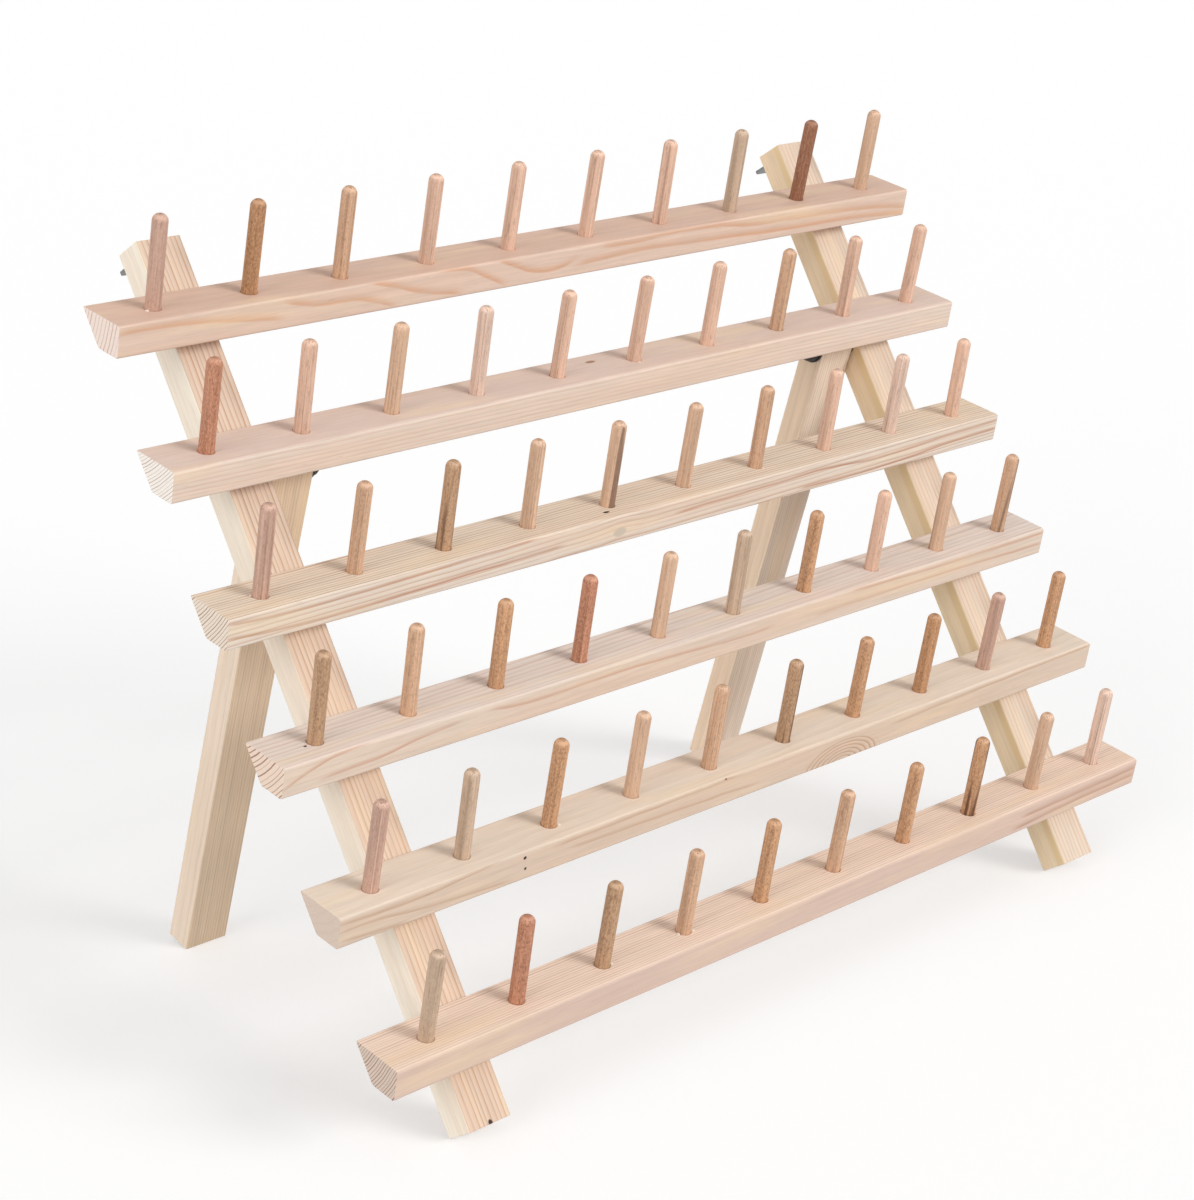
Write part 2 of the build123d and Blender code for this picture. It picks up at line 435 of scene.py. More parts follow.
# Spreads of a noise: how far it reaches, and the least
late_chance = (0.6, 0.4)
streak_shade = (0.24, 0.88)
fibre_shade = (0.3, 0.85)
pore_shade = (0.44, 0.77)
pine_roughness = (0.16, 0.52)
pine_specular = 0.25
pine_relief = 0.12 * mm
pine_bump = 0.5
pore_relief = 0.8


@dataclass
class Grain:
    """How a board was cut from its tree, and its tones. Lengths are in millimetres.

    pith is the middle of the growth rings, as (across, up) from the board's origin, and climb is
    how far it moves (across, up) for each millimetre along. wander is by how many rings slow
    noise moves them, either way. late and side_late are how dark the latewood is on the faces
    that look up and across, and a higher thin makes it narrower. end_late is how dark it is on the
    sawn ends. A swirl is (along, across, up, half length, half width, rings), and a mark is
    (along, across, up, half length, half width, tone). A vein is a dark line on the front, through
    points that are each (along, up). An arch is a nest of curved lines there, as (along, up, half
    length, half height, lines, darkness)."""

    pith: tuple
    ring_width: float
    climb: tuple = (0.0, 0.0)
    wander: float = 0.5
    thin: float = 3.2
    late: float = 0.5
    side_late: float = 0.5
    # The earlywood tones of faces that look up and of faces that look across were each matched to how brightly
    # those faces were lit, so the step between them is partly the wood's own and partly painted light and shade.
    early: tuple = cream
    side_early_and_painted_light: tuple = cream
    late_tone: tuple = tan_line
    # The sawn ends' tones are partly painted shade, darker on the lower bars where less light fell
    end_light: tuple = near_white
    end_dark: tuple = grey_line
    end_late: float = 1.0
    swirls: tuple = ()
    marks: tuple = ()
    veins: tuple = ()
    vein_width: float = 0.5
    vein_late: float = 0.5
    vein_tone: tuple = tan_line
    arches: tuple = ()


def ring_count(g, place, board, grain):
    """How many growth rings lie between the pith and a place. board feeds the board's own noise."""
    length, width, height = place
    offsets = []
    for value, centre, climb in zip((width, height), grain.pith, grain.climb):
        middle = g.spread(length, climb, centre * mm)
        offset = g.math("SUBTRACT", value, middle)
        offsets.append(g.product(offset, offset))
    radius = g.math("SQRT", g.math("ADD", *offsets))
    rings = g.math("DIVIDE", radius, grain.ring_width * mm)
    uneven = g.noise(g.join(rings, 0.0, 0.0), ring_wave, detail=1.0)
    slow = g.noise(board, long_wave)
    quick = g.noise(board, short_wave, detail=1.0)
    for reach, wave in ((ring_uneven, uneven), (2 * grain.wander, slow), (ring_quick, quick)):
        rings = g.spread(g.math("SUBTRACT", wave, half), reach, rings)
    for *centre, half_length, half_width, lift in grain.swirls:
        away = squared_reach(g, place, centre, half_length, half_width)
        hump = g.math("EXPONENT", g.product(away, -1.0))
        rings = g.spread(hump, lift, rings)
    return rings


def squared_reach(g, place, centre, half_length, half_width):
    """Squared distance from a centre, where 1 is on an ellipsoid of the given half sizes."""
    total = 0.0
    for value, middle, reach in zip(place, centre, (half_length, half_width, half_width)):
        step = g.math("DIVIDE", g.math("SUBTRACT", value, middle * mm), reach * mm)
        total = g.math("MULTIPLY_ADD", step, step, total)
    return total


def latewood(g, phase, thin):
    """A growth ring's dark line: it darkens slowly with the phase and ends at once."""
    return g.product(g.math("POWER", phase, thin), g.ramp(phase, late_end, 1.0, 1.0, 0.0))


def vein(g, place, points, grain, quiver):
    """How dark a line is on a board's front. It is sharp below and fades upward."""
    length, _, height = place
    start, end = points[0][0] * mm, points[-1][0] * mm
    share = g.node("ShaderNodeMapRange", {"Value": length, "From Min": start, "From Max": end})
    line = g.node("ShaderNodeFloatCurve", {"Value": share.outputs["Result"]})
    curve = line.mapping.curves[0]
    stops = [((along * mm - start) / (end - start), -up * mm / vein_reach) for along, up in points]
    curve.points[0].location = stops[0]
    curve.points[1].location = stops[-1]
    for stop in stops[1:-1]:
        curve.points.new(*stop)
    line.mapping.update()
    middle = g.spread(line.outputs["Value"], -vein_reach, quiver)
    above = g.math("DIVIDE", g.math("SUBTRACT", height, middle), grain.vein_width * mm)
    glow = g.math("POWER", g.ramp(above, vein_glow, 0.0), vein_falloff)
    started = g.ramp(length, start - vein_fade, start + vein_fade)
    ended = g.ramp(length, end + vein_fade, end - vein_fade)
    return g.product(g.ramp(above, -1.0, 0.0), glow, started, ended, grain.vein_late)


def arch_lines(g, place, arch, quiver):
    """How dark nested curved lines are on a board's front, where it cuts a bump in the rings."""
    along, up, half_length, half_height, lines, late = arch
    length, _, height = place
    squared = squared_reach(g, (length, 0.0, height), (along, 0, up), half_length, half_height)
    reach = g.math("SQRT", squared)
    count = g.spread(reach, lines, g.math("DIVIDE", quiver, half_height * mm / lines))
    line = latewood(g, g.math("SUBTRACT", 1.0, g.math("FRACT", count)), arch_thin)
    return g.product(line, g.ramp(reach, *arch_outside), g.ramp(reach, *arch_inside), late)


def front_lines(g, place, board, grain):
    """How dark each line is that is drawn on the board's front."""
    wave = g.noise(board, quiver_wave)
    quiver = g.product(g.math("SUBTRACT", wave, half), vein_quiver)
    veins = [vein(g, place, points, grain, quiver) for points in grain.veins]
    return veins + [arch_lines(g, place, arch, quiver) for arch in grain.arches]


def pine(name, origin, along, across, grain, seed):
    """Planed pine, with growth rings that run through the board and meet at its edges."""
    g = Graph(name)
    ways = (along, across, across.cross(along))
    coordinates = g.node("ShaderNodeTexCoord")
    from_origin = g.vector("SUBTRACT", coordinates.outputs["Object"], tuple(origin))
    place = [g.vector("DOT_PRODUCT", from_origin, tuple(way)) for way in ways]
    board = g.join(g.math("ADD", place[0], seed), *place[1:])
    normal = coordinates.outputs["Normal"]
    facing = [g.math("ABSOLUTE", g.vector("DOT_PRODUCT", normal, tuple(way))) for way in ways[:2]]
    sawn = g.ramp(facing[0], *sawn_step)
    side = g.ramp(facing[1], *side_step)

    rings = ring_count(g, place, board, grain)
    phase = g.math("FRACT", rings)
    chance = g.node("ShaderNodeTexWhiteNoise", {"W": g.math("FLOOR", rings)}, noise_dimensions="1D")
    strength = g.spread(chance.outputs["Value"], *late_chance)
    line = g.product(latewood(g, phase, grain.thin), strength)
    streak = g.noise(board, streak_grain)
    fibre = g.noise(board, fibre_grain, detail=3.0, roughness=fine_roughness)
    pores = g.noise(board, pore_grain, detail=1.0)

    # Painted light and shade: faces that look across take their own earlywood tone, set partly by how brightly
    # they were lit
    face = g.mix(side, grain.early, grain.side_early_and_painted_light)
    darkness = g.spread(side, grain.side_late - grain.late, grain.late)
    face = g.mix(g.product(line, darkness, late_gain), face, grain.late_tone)
    face = g.mix(g.product(phase, phase, darkness, warm_share), face, ruddy)
    for shown in front_lines(g, place, board, grain):
        face = g.mix(g.product(shown, side, g.ramp(streak, *vein_break)), face, grain.vein_tone)
    face = g.mix(g.ramp(g.noise(board, tone_wave), *ruddy_patch), face, ruddy)
    face = g.mix(g.ramp(g.noise(board, honey_wave), *honey_patch), face, honey)
    face = g.shade(face, g.spread(streak, *streak_shade))
    face = g.shade(face, g.spread(fibre, *fibre_shade))
    face = g.shade(face, g.ramp(g.noise(board, canal_grain, detail=1.0), *canal_shade))

    end_line = g.product(g.ramp(line, *end_line_step), grain.end_late)
    # Painted shade: the sawn ends' tones were darkened to match how lit each end was, most on the lower bars
    end = g.mix(end_line, grain.end_light, grain.end_dark)
    end = g.shade(end, g.spread(pores, *pore_shade))
    colour = g.mix(sawn, face, end)
    for *centre, half_length, half_width, dark in grain.marks:
        away = squared_reach(g, place, centre, half_length, half_width)
        colour = g.mix(g.ramp(away, *mark_edge), colour, dark)

    relief = g.spread(fibre, half, g.product(line, half))
    relief = g.math("ADD", relief, g.product(pores, sawn, pore_relief))
    return g.surface({
        "Base Color": colour,
        "Roughness": g.spread(fibre, *pine_roughness),
        "Specular IOR Level": pine_specular,
        "Normal": g.bump(relief, pine_relief, pine_bump),
    })


# Bars from the top down. Each board's origin is its top front edge at its left end
# Each bar's top and front tones were matched to how lit those faces were, so the step between them is partly
# painted light
bar_grain = {
    1: Grain(
        pith=(-70, 8), ring_width=2.1, thin=5, late=0.2, side_late=0.08,
        early=tone(213, 182, 164), side_early_and_painted_light=tone(221, 196, 179), late_tone=orange_line,
        end_light=tone(246, 228, 216), end_dark=tone(206, 160, 148), end_late=0.9,
        veins=(
            ((0, -3.4), (21, -3.1), (38, -4.4), (60, -6.7), (72, -8.2)),
            ((74, -2), (94, -5.5), (106, -5.6), (116, -7.9), (127, -11)),
            ((115, -0.6), (127, -3.4), (141, -7.6), (160, -10.7)),
            ((150, -0.4), (164, -1.9), (173, -5.7), (184, -10.4)),
            ((180, -0.2), (189, -3.6), (199, -7.2), (210, -8.1), (222, -5.2)),
            (
                (238, -2), (258, -2.4), (275, -1.3), (300, -1.5),
                (327, -3.8), (360, -4.4), (394, -5.2), (430, -8.2),
            ),
            ((225, -8), (260, -6.4), (300, -7.2), (345, -8.6), (390, -9.2), (430, -11)),
        ),
        vein_width=0.9, vein_late=0.8, vein_tone=tone(208, 158, 124),
    ),
    2: Grain(
        pith=(-48, 38), ring_width=1.2, thin=5, late=0.14, side_late=0.65,
        early=tone(221, 199, 186), side_early_and_painted_light=tone(226, 209, 195), late_tone=tone(204, 162, 140),
        end_light=tone(253, 245, 236), end_dark=tone(170, 136, 118), end_late=0.95,
        swirls=((217, -15.7, 0, 16, 5, 0.9),), marks=((217, -15.7, 0, 3, 1.2, tone(168, 126, 98)),),
    ),
    3: Grain(
        pith=(-56, 31), ring_width=1.25, climb=(0, 0.02), wander=0.5, thin=4, late=0.9,
        side_late=0.6,
        early=tone(230, 216, 198), side_early_and_painted_light=tone(226, 214, 201), late_tone=brown_line,
        end_light=tone(240, 226, 210), end_dark=tone(158, 112, 84),
        swirls=((192, -4, -3, 12, 7, 0.8),),
        marks=((188, -5.1, 0, 1.9, 0.8, speck_black), (192, 0, -7.3, 4, 2.2, tone(204, 190, 172))),
        veins=(
            ((0, -2.2), (29, -3.6), (60, -3.1), (101, -2), (146, -0.6)),
            ((0, -7.8), (36, -9.6), (70, -9.1), (102, -8.3), (160, -6.8)),
            ((225, -5.9), (279, -4.6), (313, -4), (349, -5.6), (394, -3.9), (430, -3)),
            ((300, -10.2), (362, -9.9), (396, -7.8), (430, -7)),
        ),
        vein_width=0.45, vein_late=0.8, vein_tone=tone(176, 118, 88),
    ),
    4: Grain(
        pith=(-36, 18), ring_width=1.8, climb=(0, 0.03), wander=0.8, thin=4, late=0.5,
        side_late=0.16,
        early=tone(227, 213, 203), side_early_and_painted_light=tone(222, 204, 188), late_tone=mauve_line,
        end_light=tone(243, 219, 200), end_dark=tone(162, 126, 106),
        marks=((16.4, -9.3, 0, 0.8, 0.6, speck_black),),
        veins=(
            ((0, -9.2), (12, -4.2), (24, -1.2), (36, -0.3)),
            ((19, -9), (31, -8.3), (46, -7.6), (62, -5.2), (80, -4)),
            ((98, -3), (121, -4.8), (148, -4.3), (183, -4.3), (223, -6), (250, -5.8)),
            ((300, -1), (358, -2.4), (398, -2.3), (430, -2.2)),
            ((280, -7), (330, -6.5), (430, -7.5)),
        ),
        vein_width=0.5, vein_late=0.75, vein_tone=tone(198, 150, 122),
    ),
    5: Grain(
        pith=(-40, 30), ring_width=3.2, climb=(0, 0.035), wander=1.2, late=0.1, side_late=0.1,
        early=tone(231, 214, 196), side_early_and_painted_light=tone(216, 197, 179), late_tone=grey_line,
        end_light=tone(220, 200, 184), end_dark=tone(200, 176, 156), end_late=0.15,
        marks=(
            (86.6, 0, -2.6, 0.9, 0.8, speck_black), (87.5, 0, -7.4, 0.7, 0.7, speck_black),
            (193, 0, -0.6, 0.8, 0.5, knot_brown),
        ),
        veins=(
            ((0, -2.4), (20, -3.1), (42, -3.1), (55, -1.8), (72, -0.4)),
            ((0, -5.8), (16, -5.8), (39, -8.4), (56, -9.2), (78, -10.4)),
            ((2, -9.6), (30, -11.6)),
            ((104, -2.9), (134, -2.2), (170, -1.8), (200, -1.2)),
            ((112, -6.2), (167, -6.9), (210, -8)),
            ((296, -4), (340, -2.6), (430, -1)),
        ),
        arches=((264, -13.5, 24, 12, 8, 1.6),),
        vein_width=0.45, vein_late=0.6, vein_tone=tone(184, 144, 110),
    ),
    6: Grain(
        pith=(-56, 20), ring_width=1.1, wander=0.6, thin=3.6, late=0.75, side_late=0.1,
        early=tone(242, 219, 201), side_early_and_painted_light=tone(214, 188, 173), late_tone=tone(198, 156, 132),
        end_light=tone(219, 199, 184), end_dark=tone(146, 112, 92),
        veins=(((345, -10), (382, -8.4), (430, -7.6)), ((350, -5.2), (390, -4.6), (430, -4.2))),
        vein_width=0.7, vein_late=0.8, vein_tone=tone(176, 132, 110),
    ),
}
rail_grain = {
    # The left rail's near-white side tone is painted light, for the strong light falling on that side
    "left": Grain(
        pith=(-95, 5), ring_width=2.1, wander=0.2, thin=4.6, late=1.1, side_late=0.25,
        early=tone(217, 195, 176), side_early_and_painted_light=tone(254, 246, 230), late_tone=tone(182, 138, 104),
        marks=((0.5, 0.1, 13.5, 1.4, 1.1, speck_black),),
    ),
    "right": Grain(
        pith=(120, 5), ring_width=2.3, wander=0.2, thin=4.6, late=0.8, side_late=0.3,
        early=tone(221, 205, 188), side_early_and_painted_light=tone(244, 222, 188), late_tone=tan_line,
        marks=((171, -9.9, 11, 300, 2.4, tone(232, 204, 160)),),
    ),
}
# The legs' side tones are paler than their fronts partly as painted light, for the light falling on their sides
leg_grain = {
    "left": Grain(
        pith=(70, 25), ring_width=1.25, wander=0.3, late=0.5, side_late=0.2,
        early=tone(226, 204, 177), side_early_and_painted_light=tone(240, 221, 201), late_tone=grey_line,
    ),
    "right": Grain(
        pith=(-80, 20), ring_width=1.4, wander=0.3, late=0.4, side_late=0.2,
        early=tone(234, 216, 198), side_early_and_painted_light=tone(253, 228, 200), late_tone=grey_line,
    ),
}

# Seeds move the boards' noise along
bar_seed_step = 0.7
board_seeds = {"rail_left": 6.1, "rail_right": 7.3, "leg_left": 8.4, "leg_right": 9.5}


def bar_corners(number):
    """The bar's outline from the frame: top front, top back, bottom back and bottom front."""
    base = mount_place(f"spool_pegs_row_{number}")
    top_front = base + bar_forward * peg_from_front
    top_back = top_front - bar_forward * bar_top_depth
    bottom_back = top_back - rail_up * (bar_front_height / rail_up.dot(peg_up))
    bottom_front = top_front - peg_up * bar_front_height
    return top_front, top_back, bottom_back, bottom_front


def peg_places(number):
    low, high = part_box(f"bar_{number}")
    pitch = (high.x - low.x) / peg_count
    base = mount_place(f"spool_pegs_row_{number}")
    return [base + side_axis * pitch * column for column in range(peg_count)]


def make_bar(number):
    node = f"bar_{number}"
    low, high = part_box(node)
    corners = bar_corners(number)
    shape = prism(corners, low.x, high.x)
    piece = planed_piece(f"{node}_planed", shape, side_axis, bar_edge_radius)
    hole = peg_radius + peg_hole_gap
    profile = [
        (hole, -peg_hole_depth),
        (hole, -peg_hole_chamfer),
        (hole + peg_hole_chamfer, 0),
        (hole + peg_hole_chamfer + overrun, overrun),
    ]
    cut(piece, [(place, peg_up, profile) for place in peg_places(number)])
    origin = Vector((low.x, corners[0].y, corners[0].z))
    seed = bar_seed_step * number
    wood = pine(f"pine_{node}", origin, side_axis, bar_forward, bar_grain[number], seed)
    finish_wood(piece, node, wood)


def bar_screw_place(number, x):
    corners = bar_corners(number)
    back_height = (corners[1] - corners[2]).length
    place = corners[2] + rail_up * back_height * bar_screw_rise_share - rail_out * rail_thickness
    place.x = x
    return place


def make_rail(side):
    node = f"rail_{side}"
    low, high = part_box(node)
    middle = (low.x + high.x) * half
    foot = mount_place(f"rail_foot_{side}")
    back_foot = foot - rail_out * rail_thickness * half
    front_foot = foot + rail_out * rail_thickness * half
    top = rail_up * rail_length
    shape = prism((back_foot, front_foot, front_foot + top, back_foot + top), low.x, high.x)
    piece = planed_piece(f"{node}_planed", shape, rail_up, rail_edge_radius)
    head = bar_screw_head_radius + screw_gap
    shank = bar_screw_shank_radius + screw_gap
    countersink = [
        (head + overrun, -overrun),
        (head, 0),
        (shank, head - shank),
        (shank, rail_thickness + overrun),
    ]
    cutters = [(bar_screw_place(number, middle), rail_out, countersink) for number in bar_numbers]
    tab_screw = tab_screw_radius + screw_gap
    for share in tab_screw_shares:
        place = back_foot + rail_up * (rail_length - tab_drop - tab_strap_length * share)
        place.x = middle
        cutters.append((place, rail_out, [(tab_screw, -overrun), (tab_screw, tab_screw_bite)]))
    pivot = Vector(joints[f"{side}_leg_hinge"]["pos_m"])
    outward = math.copysign(1, middle)
    pivot.x = middle - outward * (high.x - low.x) * half
    pivot_hole = pivot_radius + screw_gap
    cutters.append((pivot, side_axis * outward, [(pivot_hole, -overrun), (pivot_hole, pivot_bite)]))
    cut(piece, cutters)
    origin = Vector((middle, back_foot.y, back_foot.z))
    wood = pine(f"pine_{node}", origin, rail_up, side_axis, rail_grain[side], board_seeds[node])
    finish_wood(piece, node, wood)


def make_leg(side):
    node = f"leg_{side}"
    low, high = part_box(node)
    middle = (low.x + high.x) * half
    joint = joints[f"{side}_leg_hinge"]
    pivot = Vector(joint["pos_m"])
    opening = math.radians(joint["range_deg"][1])
    foot = mount_place(f"leg_foot_{side}")
    reach = (foot - pivot).length
    thick = leg_thickness * half
    stop = leg_fold_gap + thick - leg_stop_gap
    front_top = (stop - thick * math.cos(opening)) / math.sin(opening)
    back_top = (stop + thick * math.cos(opening)) / math.sin(opening)
    leg_up = -leg_down
    outline = (
        pivot + leg_down * reach - leg_front * thick,
        pivot + leg_down * reach + leg_front * thick,
        pivot + leg_up * front_top + leg_front * thick,
        pivot + leg_up * back_top - leg_front * thick,
    )
    shape = prism(outline, low.x, high.x)
    nose, heel = outline[2:]
    lengthwise = [edge for edge in shape.edges if runs_along(edge, side_axis)]
    edges = [
        edge for edge in lengthwise
        if (edge.verts[0].co - nose).cross(side_axis).length < close_by
    ]
    corner = leg_down.angle(heel - nose)
    bevel(shape, edges, leg_nose_radius / math.tan(corner * half), edge_segments * 2)
    piece = planed_piece(f"{node}_planed", shape, leg_down, leg_edge_radius)
    hole = pivot_radius + pivot_gap
    start = pivot.copy()
    start.x = low.x
    cut(piece, [(start, side_axis, [(hole, -overrun), (hole, high.x - low.x + overrun)])])
    origin = pivot.copy()
    origin.x = middle
    wood = pine(f"pine_{node}", origin, leg_down, side_axis, leg_grain[side], board_seeds[node])
    finish_wood(piece, node, wood)


# Dowels
dowel_tones = {
    "pale": tone(222, 192, 174),
    "blush": tone(218, 180, 157),
    "tan": tone(210, 174, 146),
    "sand": tone(203, 164, 134),
    "mauve": tone(197, 160, 142),
    "grey": tone(194, 168, 144),
    "honey": tone(194, 149, 112),
    "olive": tone(182, 146, 114),
    "amber": tone(180, 134, 96),
    "rust": tone(188, 132, 104),
    "umber": tone(146, 98, 72),
}

# Each row's tones from left to right, and how scarred some pegs are, by (row, peg)
dowel_rows = {
    1: "mauve amber sand blush blush blush blush grey umber tan",
    2: "rust blush tan pale blush blush blush sand blush blush",
    3: "mauve sand olive tan tan tan sand blush pale blush",
    4: "olive sand honey rust tan grey honey blush tan sand",
    5: "mauve grey honey tan sand olive honey amber mauve honey",
    6: "grey rust olive sand honey sand honey honey tan pale",
}
scarred_dowels = {
    (1, 9): 1.0, (2, 8): 0.6, (3, 3): 0.6, (3, 5): 0.6, (4, 10): 0.6, (5, 6): 0.6, (6, 8): 0.8,
}

dowel_seed_range = 100
dowel_place_name = "dowel_place"
dowel_tone_name = "dowel_tone"
dowel_traits_name = "dowel_traits"
dowel_dark = tone(112, 70, 48)
dowel_pale = tone(238, 214, 198)
scar_dark = tone(70, 36, 24)
pale_share = 0.15
pale_lift = 1.3

# Noise waves per metre, across, deep and up a peg
dowel_streak = (480.0, 480.0, 20.0)
dowel_fibre = (2300.0, 2300.0, 80.0)
dowel_fleck = (1500.0, 1500.0, 210.0)
dowel_thread = (1500.0, 1500.0, 9.0)
dowel_scar = (300.0, 300.0, 14.0)
dowel_speckle = (1700.0, 1700.0, 900.0)

# Steps and spreads, as for pine. A peg whose tone has little blue is speckled most
speckle_by_blue = (0.14, 0.3, 0.4, 0.1)
streak_tone = (0.3, 0.72, 1.14, 0.82)
streak_pale = (0.36, 0.24, 0.0, 0.5)
thread_dark = (0.56, 0.7, 0.0, 0.34)
thread_pale = (0.44, 0.3, 0.0, 0.6)
fleck_dark = (0.58, 0.72, 0.0, 0.28)
speckle_dark = (0.54, 0.66)
speckle_pale = (0.46, 0.36)
scar_step = (0.53, 0.6)
dowel_roughness = (0.2, 0.46)
dowel_specular = 0.3
dowel_relief = 0.1 * mm
dowel_bump = 0.5

# A peg's round tip. Its lengths are shares of the peg's radius
crown_below_tip = (0.75, 0.3)
heart_radii = (0.75, 0.2)
heart_shade = 0.78
tip_share = 0.85
tip_speckle = (0.54, 0.68, 0.0, 0.6)


def dowel_material():
    """Turned hardwood. Each peg brings its tone, and its traits: a seed and how scarred it is."""
    g = Graph("dowel_wood")
    place = g.node("ShaderNodeAttribute", attribute_name=dowel_place_name).outputs["Vector"]
    base = g.node("ShaderNodeAttribute", attribute_name=dowel_tone_name).outputs["Color"]
    traits = g.node("ShaderNodeAttribute", attribute_name=dowel_traits_name).outputs["Vector"]
    across, depth, height = g.split(place)
    seed, scarred, _ = g.split(traits)
    streak = g.noise(place, dowel_streak, detail=3.0, roughness=fine_roughness, seed=seed)
    fibre = g.noise(place, dowel_fibre, roughness=fine_roughness, seed=seed)
    fleck = g.noise(place, dowel_fleck, detail=1.0, seed=seed)
    thread = g.noise(place, dowel_thread, seed=seed)
    scar = g.noise(place, dowel_scar, detail=1.0, seed=seed)
    speckle = g.noise(place, dowel_speckle, detail=1.0, seed=seed)

    pale = g.mix(pale_share, g.shade(base, pale_lift), dowel_pale)
    colour = g.shade(base, g.ramp(streak, *streak_tone))
    colour = g.mix(g.ramp(streak, *streak_pale), colour, pale)
    colour = g.mix(g.ramp(thread, *thread_dark), colour, dowel_dark)
    colour = g.mix(g.ramp(thread, *thread_pale), colour, pale)
    colour = g.mix(g.ramp(fleck, *fleck_dark), colour, dowel_dark)
    _, _, blue = g.split(base)
    speckled = g.ramp(blue, *speckle_by_blue)
    colour = g.mix(g.product(g.ramp(speckle, *speckle_dark), speckled), colour, dowel_dark)
    colour = g.mix(g.product(g.ramp(speckle, *speckle_pale), speckled), colour, pale)
    colour = g.mix(g.product(g.ramp(scar, *scar_step), scarred), colour, scar_dark)
    colour = g.shade(colour, g.spread(fibre, *fibre_shade))

    from_axis = g.math("SQRT", g.spread(across, across, g.product(depth, depth)))
    crown = g.ramp(height, *[peg_height - share * peg_radius for share in crown_below_tip])
    heart = g.ramp(from_axis, *[share * peg_radius for share in heart_radii])
    tip = g.mix(heart, pale, g.shade(base, heart_shade))
    tip = g.mix(g.ramp(speckle, *tip_speckle), tip, dowel_dark)
    colour = g.mix(g.product(crown, tip_share), colour, tip)

    return g.surface({
        "Base Color": colour,
        "Roughness": g.spread(fibre, *dowel_roughness),
        "Specular IOR Level": dowel_specular,
        "Normal": g.bump(g.math("ADD", fibre, streak), dowel_relief, dowel_bump),
    })


# Dried glue. The last three are shares of a bead's radius
glue_light = tone(238, 226, 212)
glue_dark = tone(226, 204, 184)
glue_wave = (900.0, 900.0, 900.0)
glue_roughness = 0.3
glue_relief = 0.1 * mm
glue_bump = 0.5
bead_steps = 8
bead_tip = 0.04
bead_wobble = 0.08
bead_out = 0.6


def glue_material():
    g = Graph("dried_glue")
    spot = g.node("ShaderNodeTexCoord").outputs["Object"]
    cloud = g.noise(spot, glue_wave)
    return g.surface({
        "Base Color": g.mix(cloud, glue_light, glue_dark),
        "Roughness": glue_roughness,
        "Normal": g.bump(cloud, glue_relief, glue_bump),
    })


# Where dried glue shows: row, peg, angle round the peg in degrees, and size in mm
glue_beads = (
    (1, 1, 200, 0.7), (3, 1, 150, 0.6), (4, 2, 20, 0.5), (5, 3, -30, 1.0), (6, 3, -20, 0.9),
    (6, 4, 190, 0.8), (6, 4, -25, 1.0), (2, 6, -90, 0.6), (6, 8, 10, 0.6), (3, 7, -60, 0.5),
)


def add_bead(shape, centre, radius, chance):
    """A squashed drop of glue on a bar's top, half sunk at the peg's foot."""
    profile = []
    for step in range(bead_steps + 1):
        angle = quarter_turn * step / bead_steps
        profile.append((radius * max(math.cos(angle), bead_tip), half * radius * math.sin(angle)))
    for ring in add_lathe(shape, centre, peg_up, profile, 2 * bead_steps):
        for vertex in ring:
            vertex.co += side_axis * chance.uniform(-bead_wobble, bead_wobble) * radius


def peg_profile(trim):
    """A peg's (radius, height) rings from its foot up. Its dome is trim radii high."""
    shoulder = peg_height - peg_radius
    body = [(peg_radius - peg_foot_chamfer, -peg_sunk), (peg_radius, peg_foot_chamfer - peg_sunk)]
    body += [(peg_radius, shoulder * step / peg_body_steps) for step in range(peg_body_steps + 1)]
    for step in range(1, peg_dome_steps + 1):
        angle = quarter_turn * step / peg_dome_steps
        radius = peg_radius * max(math.cos(angle), peg_tip)
        body.append((radius, shoulder + trim * peg_radius * math.sin(angle)))
    return body


def make_pegs(number, dowel, glue, chance):
    node = f"pegs_row_{number}"
    shape = bmesh.new()
    place_layer = shape.verts.layers.float_vector.new(dowel_place_name)
    tone_layer = shape.verts.layers.float_color.new(dowel_tone_name)
    traits_layer = shape.verts.layers.float_vector.new(dowel_traits_name)
    names = dowel_rows[number].split()
    for column, (place, name) in enumerate(zip(peg_places(number), names), 1):
        body = peg_profile(chance.uniform(peg_trim, 1.0))
        leans = [math.radians(chance.uniform(-peg_tilt, peg_tilt)) for _ in "XY"]
        tilt = [Matrix.Rotation(lean, 3, turn) for lean, turn in zip(leans, "XY")]
        forward = Matrix.Rotation(math.radians(peg_forward_tilt[number]), 3, "X")
        axis = (forward @ tilt[0] @ tilt[1] @ peg_up).normalized()
        seed = number + chance.uniform(0, dowel_seed_range)
        traits = Vector((seed, scarred_dowels.get((number, column), 0.0), 0.0))
        first = axis.orthogonal().normalized()
        second = axis.cross(first)
        for (_, height), ring in zip(body, add_lathe(shape, place, axis, body, peg_sides)):
            for vertex in ring:
                offset = vertex.co - place
                vertex[place_layer] = Vector((offset.dot(first), offset.dot(second), height))
                vertex[tone_layer] = dowel_tones[name]
                vertex[traits_layer] = traits
    wood_faces = len(shape.faces)
    for row, peg, angle, size in glue_beads:
        if row == number:
            turn = math.radians(angle)
            away = side_axis * math.cos(turn) + bar_forward * -math.sin(turn)
            spot = peg_places(number)[peg - 1] + away * (peg_radius + bead_out * size * mm)
            add_bead(shape, spot, size * mm, chance)
    bmesh.ops.recalc_face_normals(shape, faces=shape.faces)
    shape.faces.ensure_lookup_table()
    for face in shape.faces[wood_faces:]:
        face.material_index = 1
    piece = shape_object(f"{node}_turned", shape)
    piece.data.materials.append(dowel)
    piece.data.materials.append(glue)
    smooth(piece.data, peg_crease)
    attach(piece, bodies[node])
    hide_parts(node)


